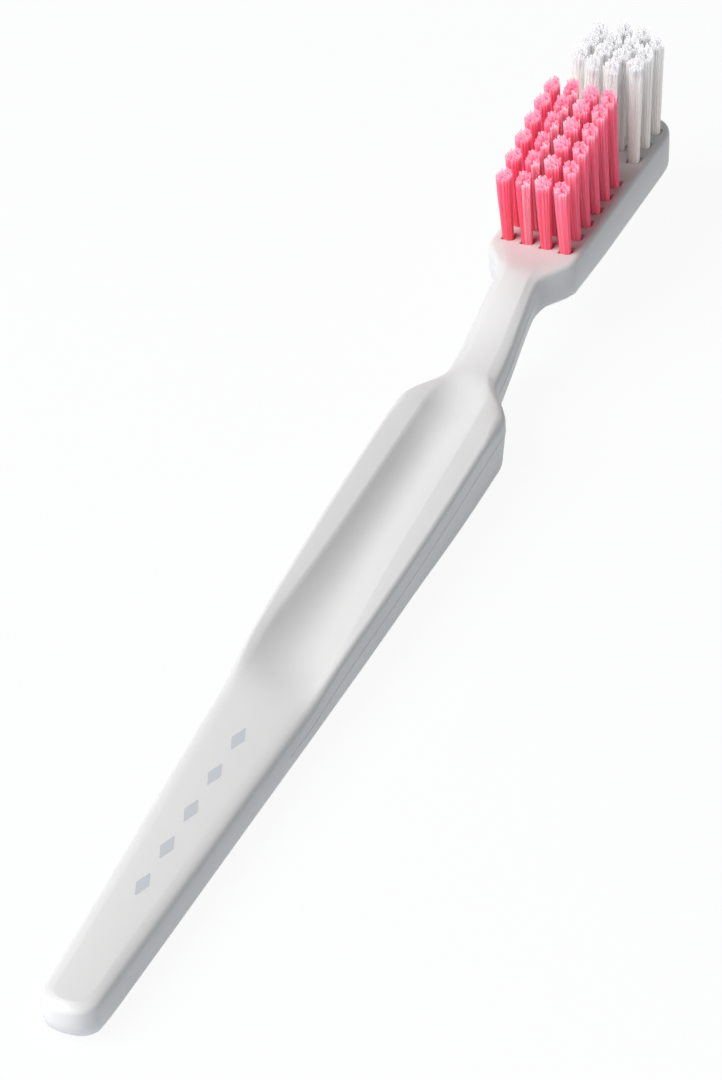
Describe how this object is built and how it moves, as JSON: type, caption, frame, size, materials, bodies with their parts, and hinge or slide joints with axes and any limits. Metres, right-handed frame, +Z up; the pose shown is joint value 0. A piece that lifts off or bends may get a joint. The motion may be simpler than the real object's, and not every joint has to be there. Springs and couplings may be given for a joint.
{
  "type": "denture brush",
  "caption": "Double-headed denture cleaning brush: white moulded handle with thumb recess, raised head, short slanted pink tufts and a taller white tuft group at the tip",
  "frame": {"origin": "under the middle of the bounding box, on the plane that the brush lies on", "axes": "+X along the brush from the end of the grip to the tip of the head, +Z up along the bristles, +Y across"},
  "size_m": [0.18, 0.0142, 0.0295],
  "materials": {
    "moulded_polypropylene": "satin gloss, white",
    "pink_nylon": "extruded filament, deep pink",
    "white_nylon": "extruded filament, milky white",
    "nickel_silver": "bright rolled sheet, silver-coloured"
  },
  "bodies": {
    "root": {"handle_and_head": "moulded_polypropylene", "pink_tuft_1_1": "pink_nylon", "pink_tuft_1_2": "pink_nylon", "pink_tuft_1_3": "pink_nylon", "pink_tuft_1_4": "pink_nylon", "pink_tuft_2_1": "pink_nylon", "pink_tuft_2_2": "pink_nylon", "pink_tuft_2_3": "pink_nylon", "pink_tuft_2_4": "pink_nylon", "pink_tuft_3_1": "pink_nylon", "pink_tuft_3_2": "pink_nylon", "pink_tuft_3_3": "pink_nylon", "pink_tuft_3_4": "pink_nylon", "pink_tuft_4_1": "pink_nylon", "pink_tuft_4_2": "pink_nylon", "pink_tuft_4_3": "pink_nylon", "pink_tuft_4_4": "pink_nylon", "pink_tuft_5_1": "pink_nylon", "pink_tuft_5_2": "pink_nylon", "pink_tuft_5_3": "pink_nylon", "pink_tuft_5_4": "pink_nylon", "pink_tuft_6_1": "pink_nylon", "pink_tuft_6_2": "pink_nylon", "pink_tuft_6_3": "pink_nylon", "pink_tuft_6_4": "pink_nylon", "white_tuft_1_1": "white_nylon", "white_tuft_1_2": "white_nylon", "white_tuft_1_3": "white_nylon", "white_tuft_2_1": "white_nylon", "white_tuft_2_2": "white_nylon", "white_tuft_2_3": "white_nylon", "white_tuft_2_4": "white_nylon", "white_tuft_3_1": "white_nylon", "white_tuft_3_2": "white_nylon", "white_tuft_3_3": "white_nylon", "white_tuft_3_4": "white_nylon", "white_tuft_4_1": "white_nylon", "white_tuft_4_2": "white_nylon", "white_tuft_4_3": "white_nylon", "white_anchor_1_1": "nickel_silver", "white_anchor_1_2": "nickel_silver", "white_anchor_1_3": "nickel_silver", "white_anchor_2_1": "nickel_silver", "white_anchor_2_2": "nickel_silver", "white_anchor_2_3": "nickel_silver", "white_anchor_2_4": "nickel_silver", "white_anchor_3_1": "nickel_silver", "white_anchor_3_2": "nickel_silver", "white_anchor_3_3": "nickel_silver", "white_anchor_3_4": "nickel_silver", "white_anchor_4_1": "nickel_silver", "white_anchor_4_2": "nickel_silver", "white_anchor_4_3": "nickel_silver"}
  },
  "joints": []
}
